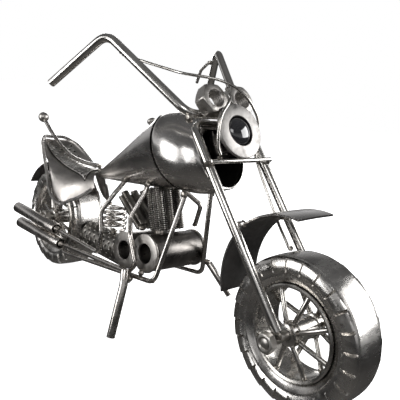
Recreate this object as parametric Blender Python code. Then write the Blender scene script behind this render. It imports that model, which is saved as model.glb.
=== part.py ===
"""Welded steel chopper motorcycle: a shelf model made of rods, washers, nuts, studs and formed sheet.

The lengths below are millimetres and the objects are in metres. +X is forward, +Y is the rider's left and
+Z is up. The origin is on the ground under the rear axle, on the centre plane of the frame.
"""

import math

import bmesh
import bpy
from mathutils import Matrix, Vector

MM = 0.001
GAP = 0.35

# Wheels
WHEEL_R = 38.0
WHEELBASE = 228.0
FRONT_TYRE_W = 22.4
REAR_TYRE_W = 23.6
TYRE_BORE_R = 24.7
RIM_R = 24.3
RIM_WALL = 1.6
HUB_R = 5.6
AXLE_R = 2.5
AXLE_CLEARANCE = 0.3
SPOKES = 8
SPOKE_R = 1.3
FIRST_SPOKE_DEG = 28.0
WHEEL_SEGMENTS = 40

# Steering: the fork stands turned by STEER_REST about the raked neck axis
RAKE = math.radians(40.85)
STEER_REST = math.radians(-4.9)
NECK = Vector((158.7, 0.0, 114.0))
FRONT_AXLE_LIFT = 0.38

# Rod stock
HEAVY_ROD_R = 2.5
FRAME_ROD_R = 1.5
BRACE_ROD_R = 1.3
CABLE_R = 0.8

# Frame
FRAME_HALF_W = 20.0
RAIL_REAR = Vector((36.0, 19.5, 20.5))
RAIL_FRONT = Vector((138.0, FRAME_HALF_W, 33.5))
DOWN_TUBE_TOP = Vector((145.0, 10.5, 88.0))

# Fork
LEG_Y = 20.6
LEG_TOP = Vector((155.9, LEG_Y, 129.1))
LEG_FOOT = Vector((229.2, LEG_Y, 42.6))
FORK_UP = (LEG_TOP - LEG_FOOT).normalized()
FORK_FRONT = Vector((FORK_UP.z, 0.0, -FORK_UP.x))

# Tank: a spun cone with a separate bulged front shell, each section is centre, tilt and radius
TANK_TIP = Vector((43.8, 0.0, 80.3))
SEAM_CENTRE = Vector((127.0, 0.0, 110.8))
SEAM_R = 24.8
SEAM_TILT = 24.0
MOUTH_CENTRE = Vector((159.0, 0.0, 112.0))
MOUTH_R = 18.6
MOUTH_TILT = 26.0
TANK_WALL = 1.2

# Engine
CRANK_FRONT = Vector((126.7, 0.0, 47.8))
CRANK_REAR = Vector((102.8, 0.0, 42.6))
CRANK_R = 11.2
CRANK_WALL = 1.8
CRANK_HALF_W = {"front": 18.2, "rear": 15.4}
WASHER_R = 11.8
WASHER_HOLE_R = 6.1
WASHER_T = 1.6
STUD_R = 2.4

# Headlight and gauges
LAMP_CENTRE = Vector((171.8, 0.0, 128.4))
LAMP_PITCH = math.radians(25.4)
LAMP_R = 15.1
LAMP_HOLE_R = 8.4
LAMP_T = 2.4
NUT_CENTRE = Vector((157.0, 9.6, 142.2))
NUT_FLAT_R = 8.0
NUT_HOLE_R = 4.6
NUT_T = 8.0
NUT_PITCH = math.radians(30.0)

# Front fender: an arc set well clear of the tyre
FENDER_CENTRE = Vector((222.0, 0.0, 54.8))
FENDER_R = 40.9
FENDER_HALF_W = 13.4

SIDES = {"right": -1.0, "left": 1.0}


def clear_scene():
    for obj in list(bpy.data.objects):
        bpy.data.objects.remove(obj, do_unlink=True)


def material(name, color, roughness, metallic=1.0):
    found = bpy.data.materials.get(name)
    if found:
        return found
    made = bpy.data.materials.new(name)
    made.use_nodes = True
    made.diffuse_color = (*color, 1.0)
    shader = made.node_tree.nodes["Principled BSDF"]
    shader.inputs["Base Color"].default_value = (*color, 1.0)
    shader.inputs["Roughness"].default_value = roughness
    shader.inputs["Metallic"].default_value = metallic
    return made


FINISHES = {
    "polished_rod": ((0.74, 0.73, 0.71), 0.18, 1.0),
    "spun_sheet": ((0.70, 0.69, 0.68), 0.22, 1.0),
    "dark_sheet": ((0.30, 0.29, 0.28), 0.32, 1.0),
    "tyre_steel": ((0.62, 0.61, 0.60), 0.30, 1.0),
    "zinc_hardware": ((0.66, 0.65, 0.63), 0.26, 1.0),
    "threaded_stud": ((0.50, 0.48, 0.46), 0.34, 1.0),
    "black_lens": ((0.02, 0.02, 0.022), 0.06, 0.0),
}


class Body:
    """An empty on a joint axis, and where that axis point lies before the fork is turned."""

    def __init__(self, name, at, parent=None):
        self.at = at
        self.empty = bpy.data.objects.new(name, None)
        bpy.context.scene.collection.objects.link(self.empty)
        self.empty.parent = parent.empty if parent else None
        self.empty.location = (at - (parent.at if parent else Vector())) * MM


def add(name, mesh_or_curve, body, finish):
    obj = bpy.data.objects.new(name, mesh_or_curve)
    bpy.context.scene.collection.objects.link(obj)
    obj.parent = body.empty
    obj.data.materials.append(material(finish, *FINISHES[finish]))
    return obj


def add_bmesh(name, bm, body, finish, smooth_deg=35.0):
    """Turns a bmesh in millimetres, in the frame before steering, into an object of this body."""
    bmesh.ops.translate(bm, verts=bm.verts, vec=-body.at)
    bmesh.ops.scale(bm, verts=bm.verts, vec=(MM, MM, MM))
    bmesh.ops.recalc_face_normals(bm, faces=bm.faces)
    mesh = bpy.data.meshes.new(name)
    bm.to_mesh(mesh)
    bm.free()
    mesh.shade_smooth()
    mesh.set_sharp_from_angle(angle=math.radians(smooth_deg))
    return add(name, mesh, body, finish)


def rounded(points, radius, steps=4):
    """The points of a bent rod: each inner corner becomes an arc of about this radius."""
    made = [Vector(points[0])]
    for before, corner, after in zip(points, points[1:], points[2:]):
        before, corner, after = Vector(before), Vector(corner), Vector(after)
        to_before = (before - corner).normalized()
        to_after = (after - corner).normalized()
        half = to_before.angle(to_after) / 2
        reach = radius / math.tan(half)
        reach = min(reach, 0.45 * (before - corner).length, 0.45 * (after - corner).length)
        start = corner + to_before * reach
        end = corner + to_after * reach
        for step in range(steps + 1):
            t = step / steps
            made.append((1 - t) ** 2 * start + 2 * t * (1 - t) * corner + t**2 * end)
    made.append(Vector(points[-1]))
    return made


def smooth_path(points, per_span=5):
    """A Catmull-Rom curve through the points."""
    knots = [Vector(p) for p in points]
    padded = [2 * knots[0] - knots[1], *knots, 2 * knots[-1] - knots[-2]]
    made = []
    for a, b, c, d in zip(padded, padded[1:], padded[2:], padded[3:]):
        for step in range(per_span):
            t = step / per_span
            square, cube = 2 * a - 5 * b + 4 * c - d, 3 * b - a - 3 * c + d
            made.append(0.5 * (2 * b + (c - a) * t + square * t**2 + cube * t**3))
    made.append(knots[-1])
    return made


def rod(name, points, radius, body, finish="polished_rod", bevel=2):
    """A solid rod with flat ends along a list of points."""
    curve = bpy.data.curves.new(name, "CURVE")
    curve.dimensions = "3D"
    curve.bevel_depth = radius * MM
    curve.bevel_resolution = bevel
    curve.use_fill_caps = True
    spline = curve.splines.new("POLY")
    spline.points.add(len(points) - 1)
    for target, point in zip(spline.points, points):
        target.co = (*((Vector(point) - body.at) * MM), 1.0)
    spline.use_smooth = True
    return add(name, curve, body, finish)


def ring_of(centre, axis_x, axis_z, radius, count, phase=0.5):
    """Points of a circle that starts half a step off its first axis."""
    turn = 2 * math.pi / count
    return [
        centre + radius * (math.cos(turn * (i + phase)) * axis_x + math.sin(turn * (i + phase)) * axis_z)
        for i in range(count)
    ]


def skin(rings, closed_loop, cap_start=False, cap_end=False):
    """A bmesh through rings of points. A closed loop of rings joins the last to the first."""
    bm = bmesh.new()
    made = [[bm.verts.new(point) for point in ring] for ring in rings]
    pairs = list(zip(made, made[1:]))
    if closed_loop:
        pairs.append((made[-1], made[0]))
    for first, second in pairs:
        for i in range(len(first)):
            j = (i + 1) % len(first)
            bm.faces.new((first[i], first[j], second[j], second[i]))
    if cap_start:
        bm.faces.new(made[0])
    if cap_end:
        bm.faces.new(list(reversed(made[-1])))
    return bm


def frame_of(direction):
    """Two unit vectors square to a direction, the first level where it can be."""
    direction = direction.normalized()
    level = Vector((0, 0, 1)).cross(direction)
    level = level.normalized() if level.length > 1e-6 else Vector((1, 0, 0))
    return level, direction.cross(level)


def turned(origin, direction, profile, count, bored, phase=0.5):
    """A turned solid from a profile of (along, radius). A bored one is a closed loop round its hole."""
    across, up = frame_of(direction)
    direction = direction.normalized()
    rings = [
        ring_of(origin + direction * along, across, up, radius, count, phase) for along, radius in profile
    ]
    return skin(rings, bored, not bored, not bored)


def washer_profile(low, high, inner, outer, edge=0.3):
    return [
        (low, inner),
        (low, outer - edge),
        (low + edge, outer),
        (high - edge, outer),
        (high, outer - edge),
        (high, inner),
    ]


Y_AXIS = Vector((0, 1, 0))


def join_cutter(target, helper):
    """Makes a hidden helper shape part of the target with a Boolean union."""
    helper.hide_render = True
    helper.display_type = "WIRE"
    union = target.modifiers.new(helper.name, "BOOLEAN")
    union.operation = "UNION"
    union.object = helper


def make_wheel(end, body, width):
    """Tyre, rim, and hub with two rows of spokes. The facets make a flat foot under the axle."""
    circumscribed = 1 / math.cos(math.pi / WHEEL_SEGMENTS)
    half = width / 2
    shoulder = [
        (-half + 3.6, WHEEL_R),
        (-half + 1.2, WHEEL_R - 1.0),
        (-half, WHEEL_R - 3.8),
        (-half + 0.5, WHEEL_R - 7.8),
        (-half + 2.6, WHEEL_R - 11.2),
        (-half + 3.0, TYRE_BORE_R),
    ]
    profile = shoulder + [(-along, radius) for along, radius in reversed(shoulder)]
    profile = [(along, radius * circumscribed) for along, radius in profile]
    tyre = turned(body.at, Y_AXIS, profile, WHEEL_SEGMENTS, True)
    add_bmesh(f"{end}_tyre", tyre, body, "tyre_steel", 25.0)

    rim_half = half - 2.2
    rim = [
        (-rim_half, RIM_R - RIM_WALL),
        (-rim_half, RIM_R),
        (rim_half, RIM_R),
        (rim_half, RIM_R - RIM_WALL),
    ]
    rim = turned(body.at, Y_AXIS, rim, WHEEL_SEGMENTS, True)
    wheel = add_bmesh(f"{end}_spoked_wheel", rim, body, "polished_rod")
    bore = AXLE_R + AXLE_CLEARANCE
    hub_half = half + 0.6
    hub = turned(body.at, Y_AXIS, washer_profile(-hub_half, hub_half, bore, HUB_R), 18, True)
    join_cutter(wheel, add_bmesh(f"{end}_hub_shape", hub, body, "polished_rod"))
    reach = RIM_R - RIM_WALL / 2
    for row in (-1, 1):
        for k in range(SPOKES):
            angle = math.radians(FIRST_SPOKE_DEG + 360 / SPOKES * k)
            out = Vector((math.cos(angle), 0, math.sin(angle)))
            foot = body.at + Y_AXIS * row * (hub_half - 2.4) + out * (HUB_R - 1.2)
            tip = body.at + Y_AXIS * row * (rim_half - 2.4) + out * reach
            spoke = turned(foot, tip - foot, [(0, SPOKE_R), ((tip - foot).length, SPOKE_R)], 6, False)
            join_cutter(wheel, add_bmesh(f"{end}_spoke_{row}_{k}", spoke, body, "polished_rod"))


def make_axle(end, body, centre, half_length, nut_at):
    axle = turned(centre, Y_AXIS, [(-half_length, AXLE_R), (half_length, AXLE_R)], 16, False)
    add_bmesh(f"{end}_axle", axle, body, "zinc_hardware")
    bore = (AXLE_R + GAP) / math.cos(math.pi / 6)
    for side, sign in SIDES.items():
        nut = turned(
            centre + Y_AXIS * sign * nut_at,
            Y_AXIS * sign,
            [(0, bore), (0, 4.6), (0.5, 5.2), (3.5, 5.2), (4.0, 4.6), (4.0, bore)],
            6,
            True,
        )
        add_bmesh(f"{end}_axle_nut_{side}", nut, body, "zinc_hardware", 20.0)


def make_frame(root):
    for side, sign in SIDES.items():
        mirror = Vector((1, sign, 1))
        route = [Vector((5.4, 15.6, 34.4)), RAIL_REAR, RAIL_FRONT, DOWN_TUBE_TOP]
        rod(f"frame_rail_{side}", rounded([p * mirror for p in route], 7.0), FRAME_ROD_R, root)


def tank_section(centre, tilt_deg, radius, count):
    tilt = math.radians(tilt_deg)
    up = Vector((-math.sin(tilt), 0, math.cos(tilt)))
    return ring_of(centre, Vector((0, 1, 0)), up, radius, count)


def lofted_shell(sections, wall, count, closed_start):
    """A sheet shell through tilted circles, open at its end and, unless closed, at its start."""
    outer = [tank_section(c, t, r, count) for c, t, r in sections]
    inner = [tank_section(c, t, r - wall, count) for c, t, r in sections]
    if closed_start:
        ahead = sections[0][0].lerp(sections[1][0], 0.5)
        inner[0] = tank_section(ahead, sections[0][1], sections[0][2] - wall, count)
        return skin([*inner, *reversed(outer)], False, True, True)
    return skin([*outer, *reversed(inner)], True)


def make_tank(root):
    count = 30
    cone = [
        (TANK_TIP.lerp(SEAM_CENTRE, t), SEAM_TILT * t, r)
        for t, r in ((0.0, 2.7), (0.03, 3.5), (0.35, 10.6), (0.7, 18.4), (0.992, SEAM_R))
    ]
    add_bmesh("tank_cone", lofted_shell(cone, TANK_WALL, count, True), root, "spun_sheet", 50.0)
    shell = []
    for step in range(6):
        t = step / 5
        centre = SEAM_CENTRE.lerp(MOUTH_CENTRE, t)
        bulge = 0.9 * math.sin(math.pi * min(1.0, t * 1.4)) if t < 0.72 else 0.0
        fall = SEAM_R + (MOUTH_R - SEAM_R) * t**1.8
        shell.append((centre + Vector((0.6, 0, 0)), SEAM_TILT + (MOUTH_TILT - SEAM_TILT) * t, fall + bulge))
    add_bmesh("tank_front_shell", lofted_shell(shell, TANK_WALL, count, False), root, "spun_sheet", 50.0)

    slope = Vector((-0.52, 0, 0.855))
    profile = [(0, 1.3), (1.6, 1.3), (2.0, 2.2), (3.4, 2.9), (5.0, 2.6), (6.2, 1.0)]
    filler = turned(Vector((96.6, 0, 120.9)), slope, profile, 16, False)
    add_bmesh("filler_cap", filler, root, "zinc_hardware", 60.0)


# The seat sheet in cross sections: centre x and height, then the right edge's x, half-width and height
SEAT_STATIONS = (
    (-29.0, 95.2, -29.0, 3.5, 95.6),
    (-24.5, 92.4, -24.5, 9.4, 96.0),
    (-18.5, 89.4, -18.5, 12.7, 95.2),
    (-8.0, 85.0, -8.0, 16.5, 88.0),
    (4.0, 82.2, 4.0, 19.8, 77.5),
    (13.5, 81.1, 16.0, 22.0, 62.5),
    (22.0, 80.6, 28.5, 21.0, 56.8),
    (30.0, 80.7, 36.0, 17.3, 60.3),
    (36.5, 81.0, 43.5, 12.6, 65.2),
    (40.5, 81.3, 49.0, 8.0, 71.5),
)
SEAT_T = 0.9
SEAT_INLAY_HALF = 8.0
# The left skirt is cut this much shorter than the right one
LEFT_SKIRT_REACH = 0.75


def seat_point(station, t, lift=0.0):
    """A point on the seat, t from -1 at the right edge to 1 at the left edge, lifted off the sheet."""
    x, centre_z, edge_x, half, edge_z = station
    if t > 0 and edge_x > 0:
        edge_x *= LEFT_SKIRT_REACH
    at_x = x + (edge_x - x) * abs(t) ** 1.5
    width = math.sin(abs(t) * math.pi / 2) * half
    drop = (1 - math.cos(abs(t) * math.pi / 2)) ** 1.15 * (centre_z - edge_z)
    return Vector((at_x, math.copysign(width, t), centre_z - drop + lift))


def sheet_between(grid, thickness):
    """A closed sheet from a grid of points: the grid and a copy moved along its normals."""
    bm = bmesh.new()
    verts = [[bm.verts.new(point) for point in row] for row in grid]
    for row, after in zip(verts, verts[1:]):
        for a, b, c, d in zip(row, row[1:], after[1:], after):
            bm.faces.new((a, b, c, d))
    bmesh.ops.recalc_face_normals(bm, faces=bm.faces)
    bm.normal_update()
    if bm.faces[len(bm.faces) // 2].normal.z < 0:
        bmesh.ops.reverse_faces(bm, faces=bm.faces)
        bm.normal_update()
    bmesh.ops.solidify(bm, geom=bm.faces[:], thickness=thickness)
    return bm


def make_seat(root):
    across = [i / 6 for i in range(-6, 7)]
    grid = [[seat_point(s, t) for t in across] for s in SEAT_STATIONS]
    add_bmesh("seat_pan", sheet_between(grid, SEAT_T), root, "spun_sheet", 60.0)

    inlay = []
    for station in SEAT_STATIONS[2:-1]:
        edge_t = math.asin(min(1.0, SEAT_INLAY_HALF / station[3])) * 2 / math.pi
        inlay.append([seat_point(station, edge_t * i / 3, 1.7) for i in range(-3, 4)])
    add_bmesh("seat_perforated_inlay", sheet_between(inlay, 0.7), root, "dark_sheet", 60.0)

    right = [seat_point(s, -1) + Vector((0, -2.15, -0.95)) for s in SEAT_STATIONS[2:]]
    left = [seat_point(s, 1) + Vector((0, 2.15, -0.95)) for s in SEAT_STATIONS[2:]]
    around = [Vector((-27.0, -8.6, 97.6)), Vector((-31.6, 0, 97.0)), Vector((-27.0, 8.6, 97.6))]
    rod("seat_trim", smooth_path([*reversed(right), *around, *left], 2), 0.9, root, "zinc_hardware", 1)

    bar = [
        Vector((41.5, 0, 86.2)),
        Vector((24.0, 0, 84.9)),
        Vector((2.0, 0, 86.4)),
        Vector((-16.5, 0, 92.6)),
        Vector((-33.0, 0, 101.0)),
        Vector((-44.6, 0, 108.6)),
    ]
    rod("sissy_bar", smooth_path(bar, 3), FRAME_ROD_R, root)
    bm = bmesh.new()
    bmesh.ops.create_uvsphere(bm, u_segments=16, v_segments=10, radius=4.2)
    bmesh.ops.translate(bm, verts=bm.verts, vec=(-48.4, 0, 111.3))
    add_bmesh("sissy_bar_ball", bm, root, "zinc_hardware", 60.0)


def arc_sheet(centre, radius, start_deg, end_deg, half_width, thickness, steps):
    grid = []
    for i in range(steps + 1):
        angle = math.radians(start_deg + (end_deg - start_deg) * i / steps)
        out = Vector((math.cos(angle), 0, math.sin(angle)))
        grid.append([centre + out * radius + Y_AXIS * y for y in (-half_width, 0, half_width)])
    return sheet_between(grid, thickness)


def make_engine(root):
    for end, centre in (("front", CRANK_FRONT), ("rear", CRANK_REAR)):
        half = CRANK_HALF_W[end]
        tube = turned(centre, Y_AXIS, washer_profile(-half, half, CRANK_R - CRANK_WALL, CRANK_R), 28, True)
        add_bmesh(f"crankcase_tube_{end}", tube, root, "dark_sheet")
        for side, sign in SIDES.items():
            start = centre + Y_AXIS * sign * (half + GAP)
            profile = washer_profile(0, WASHER_T, WASHER_HOLE_R, WASHER_R)
            washer = turned(start, Y_AXIS * sign, profile, 24, True)
            add_bmesh(f"crankcase_washer_{end}_{side}", washer, root, "zinc_hardware")

    gearbox = turned(Vector((40.5, 0, 33.6)), Vector((1, 0, 0)), washer_profile(0, 48.0, 9.4, 10.6), 24, True)
    add_bmesh("gearbox_tube", gearbox, root, "dark_sheet")

    turns, coil_r, pitch, per_turn = 4, 7.6, 4.0, 10
    helix = []
    for i in range(turns * per_turn + 1):
        angle = 2 * math.pi * i / per_turn
        at = Vector((71.5, -4.0, 47.5 + pitch * i / per_turn))
        helix.append(at + coil_r * Vector((math.cos(angle), math.sin(angle), 0)))
    rod("engine_coil", helix, 1.1, root, "polished_rod", 1)

    banks = (
        ("front", CRANK_FRONT + Vector((-4.05, 0, 11.15)), math.radians(20), 25.0, (-4.1, 0.0, 4.1)),
        ("rear", Vector((106.9, 0, 57.6)), math.radians(55), 26.0, (-2.05, 2.05)),
    )
    for bank, base, lean, length, offsets in banks:
        up = Vector((-math.sin(lean), 0, math.cos(lean)))
        along = Vector((math.cos(lean), 0, math.sin(lean)))
        for side, y in (("right", -7.6), ("middle", 0.0), ("left", 7.6)):
            studs = []
            for k, offset in enumerate(offsets):
                foot = base + along * offset + Y_AXIS * y + up * 0.6
                profile = [(0, STUD_R), (length - 0.8, STUD_R), (length, STUD_R - 0.6)]
                name = f"cylinder_studs_{bank}_{side}"
                stud = turned(foot, up, profile, 8, False)
                studs.append(add_bmesh(f"{name}_{k}" if k else name, stud, root, "threaded_stud"))
            for helper in studs[1:]:
                join_cutter(studs[0], helper)


def make_exhaust(root):
    y = -25.0
    pipes = (
        ("upper", (-31.6, 38.6), (31.3, 37.4)),
        ("lower", (-24.6, 28.0), (39.2, 28.6)),
    )
    for name, rear, front in pipes:
        start, end = Vector((rear[0], y, rear[1])), Vector((front[0], y, front[1]))
        length = (end - start).length
        tube = turned(start, end - start, washer_profile(0, length, 3.2, 4.2, 0.25), 16, True)
        add_bmesh(f"muffler_{name}", tube, root, "polished_rod")
    upper = [
        Vector((86.2, -12.4, 80.6)),
        Vector((87.6, -18.0, 76.0)),
        Vector((84.6, y, 63.6)),
        Vector((87.4, y, 51.0)),
        Vector((86.6, y, 36.4)),
        Vector((28.0, y, 37.4)),
    ]
    lower = [
        Vector((112.6, -13.6, 81.4)),
        Vector((110.8, -21.2, 66.0)),
        Vector((117.4, y, 57.0)),
        Vector((125.6, y, 41.5)),
        Vector((119.5, y, 34.6)),
        Vector((36.0, y, 28.6)),
    ]
    rod("header_pipe_rear", rounded(upper, 4.5, 3), FRAME_ROD_R, root)
    rod("header_pipe_front", rounded(lower, 4.5, 3), FRAME_ROD_R, root)
    far = [Vector((118.0, 13.4, 84.0)), Vector((128.0, 21.0, 76.0)), Vector((124.5, 21.5, 62.0))]
    rod("header_pipe_left", rounded(far, 4.0, 3), FRAME_ROD_R, root)


def make_stand(root):
    boss = turned(Vector((119.6, -22.0, 30.4)), -Y_AXIS, [(0, 1.8), (6.6, 1.8)], 16, False)
    add_bmesh("stand_boss", boss, root, "polished_rod")
    leg = [Vector((124.5, -31.6, 39.0)), Vector((126.5, -33.0, 30.0)), Vector((130.9, -41.6, 0.75))]
    rod("stand_leg", rounded(leg, 8.0), HEAVY_ROD_R, root)
    peg = [Vector((140.6, 22.4, 41.0)), Vector((156.0, 29.0, 23.5))]
    rod("foot_peg_left", peg, HEAVY_ROD_R - 0.4, root)


def make_neck(root):
    axis = Vector((-math.sin(RAKE), 0, math.cos(RAKE)))
    low = NECK + axis * -2.0
    tube = turned(low, axis, washer_profile(0, 11.0, 3.6, 5.6), 24, True)
    head = add_bmesh("head_tube", tube, root, "dark_sheet")
    foot = NECK + axis * 3.0 - FORK_FRONT * 4.8
    reach = Vector((139.0, 0, 101.0)) - foot
    arm = turned(foot, reach, [(0, HEAVY_ROD_R), (reach.length, HEAVY_ROD_R)], 12, False)
    join_cutter(head, add_bmesh("neck_arm", arm, root, "dark_sheet"))


def make_fork(fork):
    axis = Vector((-math.sin(RAKE), 0, math.cos(RAKE)))
    stem = turned(NECK - axis * 2.4, axis, [(0, 3.0), (16.0, 3.0)], 20, False)
    stem = add_bmesh("steering_stem", stem, fork, "dark_sheet")
    foot = NECK + axis * 11.8
    top_bar = Vector((LEG_TOP.x, 0, LEG_TOP.z))
    link = (top_bar - foot).normalized()
    length = (top_bar - foot).length - HEAVY_ROD_R - GAP
    arm = turned(foot, link, [(0, 2.0), (length, 2.0)], 12, False)
    join_cutter(stem, add_bmesh("steering_stem_arm", arm, fork, "dark_sheet"))

    flip = Vector((1, -1, 1))
    route = [LEG_FOOT * flip, LEG_TOP * flip, LEG_TOP, LEG_FOOT]
    rod("fork_legs", rounded(route, 7.5), HEAVY_ROD_R, fork, bevel=3)

    brace = Vector((172.0, 0, 110.1)) + FORK_FRONT * (HEAVY_ROD_R + BRACE_ROD_R + GAP)
    rod("fork_brace", [brace + Y_AXIS * y for y in (-22.6, 22.6)], BRACE_ROD_R, fork)

    look = Vector((math.cos(LAMP_PITCH), 0, math.sin(LAMP_PITCH)))
    washer = turned(LAMP_CENTRE, look, washer_profile(-LAMP_T, 0, LAMP_HOLE_R, LAMP_R, 0.5), 32, True)
    add_bmesh("headlight_washer", washer, fork, "zinc_hardware")
    cup = turned(
        LAMP_CENTRE - look * (LAMP_T + GAP),
        look,
        [(-7.0, 4.4), (-7.0, 6.0), (-5.0, 9.0), (-2.2, 11.2), (0, 11.8), (0, 10.6), (-2.4, 9.9), (-5.0, 7.6)],
        24,
        True,
    )
    add_bmesh("headlight_cup", cup, fork, "dark_sheet", 50.0)
    lens = turned(
        LAMP_CENTRE - look * LAMP_T,
        look,
        [(-2.0, 7.4), (0.2, LAMP_HOLE_R - GAP), (1.4, 7.8), (2.9, 6.4), (3.9, 4.2), (4.4, 1.6)],
        20,
        False,
    )
    add_bmesh("headlight_lens", lens, fork, "black_lens", 60.0)

    nut_look = Vector((math.cos(NUT_PITCH), 0, math.sin(NUT_PITCH)))
    corner = NUT_FLAT_R / math.cos(math.pi / 6)
    for side, sign in SIDES.items():
        centre = NUT_CENTRE * Vector((1, sign, 1))
        half = NUT_T / 2
        profile = [
            (-half, NUT_HOLE_R + 0.4),
            (-half, corner - 1.0),
            (-half + 0.8, corner),
            (half - 0.8, corner),
            (half, corner - 1.0),
            (half, NUT_HOLE_R + 0.4),
        ]
        nut = turned(centre, nut_look, profile, 6, True, 0.0)
        add_bmesh(f"gauge_nut_{side}", nut, fork, "zinc_hardware", 20.0)


HANDLEBAR = (
    Vector((151.2, 20.2, 134.4)),
    Vector((100.1, 42.1, 173.0)),
    Vector((72.5, 62.0, 142.7)),
)


def make_controls(fork):
    flip = Vector((1, -1, 1))
    route = [*(p * flip for p in reversed(HANDLEBAR)), *HANDLEBAR]
    rod("handlebar", rounded(route, 9.0), HEAVY_ROD_R, fork, bevel=3)
    for side, sign in SIDES.items():
        mirror = Vector((1, sign, 1))
        corner, end = HANDLEBAR[1], HANDLEBAR[2]
        along = (end - corner).normalized()
        hang = Vector((-0.55, -0.75, 0.35)).normalized()
        lever = [
            corner + along * 13.0 + hang * 4.2,
            corner + along * 24.0 + hang * 9.0,
            corner + along * 38.0 + hang * 10.5,
        ]
        rod(f"lever_{side}", rounded([p * mirror for p in lever], 6.0, 3), CABLE_R + 0.3, fork)


def make_front_fender(fork):
    sheet = arc_sheet(FENDER_CENTRE, FENDER_R, 83.0, 196.0, FENDER_HALF_W, 1.0, 16)
    add_bmesh("front_fender", sheet, fork, "spun_sheet", 60.0)
    for side, sign, at in (("right", -1, Vector((193.8, 0, 84.4))), ("left", 1, Vector((195.7, 0, 85.6)))):
        ends = [at + Y_AXIS * sign * y for y in (FENDER_HALF_W + 0.4, LEG_Y - HEAVY_ROD_R - 0.4)]
        rod(f"fender_bracket_{side}", ends, FRAME_ROD_R, fork)


def make_cables(fork):
    brake = [
        Vector((98.0, -30.0, 163.0)),
        Vector((124.2, -20.0, 157.7)),
        Vector((139.0, -16.5, 155.3)),
        Vector((151.3, -8.0, 154.2)),
        Vector((157.0, -2.0, 152.8)),
        Vector((161.2, 4.0, 150.0)),
        Vector((164.6, 9.0, 145.4)),
        Vector((166.2, 13.6, 140.0)),
        Vector((167.4, 17.2, 133.0)),
        Vector((168.6, 17.0, 122.0)),
        Vector((171.2, 14.7, 113.4)),
        Vector((189.7, 14.7, 85.8)),
        Vector((202.6, 14.7, 69.8)),
    ]
    rod("brake_cable", smooth_path(brake, 2), CABLE_R, fork, "zinc_hardware", 1)
    clutch = [
        Vector((158.2, -0.4, 149.6)),
        Vector((164.2, -3.5, 146.0)),
        Vector((170.4, -9.5, 142.6)),
        Vector((172.8, -15.8, 136.2)),
        Vector((174.2, -18.3, 128.4)),
        Vector((174.8, -18.0, 120.4)),
        Vector((175.6, -16.4, 115.9)),
    ]
    rod("clutch_cable", smooth_path(clutch, 3), CABLE_R, fork, "zinc_hardware", 1)


def make_rear_fender(root):
    sheet = arc_sheet(Vector((0, 0, WHEEL_R)), 43.0, 97.0, 150.0, 13.2, 1.0, 10)
    add_bmesh("rear_fender", sheet, root, "dark_sheet", 60.0)


def main():
    clear_scene()
    root = Body("frame_origin", Vector())
    rear = Body("rear_wheel_axis", Vector((0, 0, WHEEL_R)), root)
    fork = Body("steering_axis", NECK, root)
    axis = Vector((-math.sin(RAKE), 0, math.cos(RAKE)))
    fork.empty.rotation_euler = Matrix.Rotation(STEER_REST, 3, axis).to_euler()
    front_centre = Vector((WHEELBASE, 0, WHEEL_R + FRONT_AXLE_LIFT))
    front = Body("front_wheel_axis", front_centre, fork)

    make_wheel("rear", rear, REAR_TYRE_W)
    make_wheel("front", front, FRONT_TYRE_W)
    make_axle("rear", root, rear.at, 19.0, 15.4)
    make_axle("front", fork, front_centre, 27.5, 23.6)
    make_frame(root)
    make_tank(root)
    make_seat(root)
    make_engine(root)
    make_exhaust(root)
    make_stand(root)
    make_neck(root)
    make_rear_fender(root)
    make_fork(fork)
    make_controls(fork)
    make_front_fender(fork)
    make_cables(fork)


main()
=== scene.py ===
"""Looks for the welded steel chopper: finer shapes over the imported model, steel finishes, light and camera.

Shapes are worked out in millimetres, with the fork straight ahead. piece() turns the fork's pieces to where the
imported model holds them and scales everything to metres. +X is forward and +Y is the rider's left.
"""

import math

import bmesh
import bpy
from mathutils import Matrix, Vector


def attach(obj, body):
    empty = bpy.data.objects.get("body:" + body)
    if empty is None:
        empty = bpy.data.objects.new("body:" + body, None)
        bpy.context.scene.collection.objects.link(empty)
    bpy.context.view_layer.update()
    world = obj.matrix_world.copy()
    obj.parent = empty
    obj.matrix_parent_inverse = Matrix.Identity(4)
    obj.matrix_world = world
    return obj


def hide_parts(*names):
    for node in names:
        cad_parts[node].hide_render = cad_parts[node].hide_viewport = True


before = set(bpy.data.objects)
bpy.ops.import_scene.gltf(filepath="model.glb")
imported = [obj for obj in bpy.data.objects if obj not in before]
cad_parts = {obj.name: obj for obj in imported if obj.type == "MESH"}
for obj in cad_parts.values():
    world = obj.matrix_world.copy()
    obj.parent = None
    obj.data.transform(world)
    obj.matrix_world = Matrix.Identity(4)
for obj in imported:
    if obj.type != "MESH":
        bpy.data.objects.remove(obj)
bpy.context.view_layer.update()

MM = 0.001
GAP = 0.35
Y_AXIS = Vector((0, 1, 0))
SIDES = {"right": -1.0, "left": 1.0}

WHEEL_R, WHEELBASE, FRONT_AXLE_LIFT = 38.0, 228.0, 0.38
TYRE_BORE_R, RIM_R, HUB_R, AXLE_R = 24.7, 24.3, 5.6, 2.5
SPOKE_R, FIRST_SPOKE_DEG = 1.3, 28.0
WIDTH = {"rear": 23.6, "front": 22.4}
CENTRE = {"rear": Vector((0, 0, WHEEL_R)), "front": Vector((WHEELBASE, 0, WHEEL_R + FRONT_AXLE_LIFT))}
WHEEL_BODY = {"rear": "rear_wheel", "front": "front_wheel"}
STEERED = ("fork", "front_wheel")

RAKE = math.radians(40.85)
NECK = Vector((158.7, 0.0, 114.0))
NECK_AXIS = Vector((-math.sin(RAKE), 0, math.cos(RAKE)))
STEER_REST = Matrix.Rotation(math.radians(-4.9), 4, NECK_AXIS)
TURN = Matrix.Translation(NECK) @ STEER_REST @ Matrix.Translation(-NECK)

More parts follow.
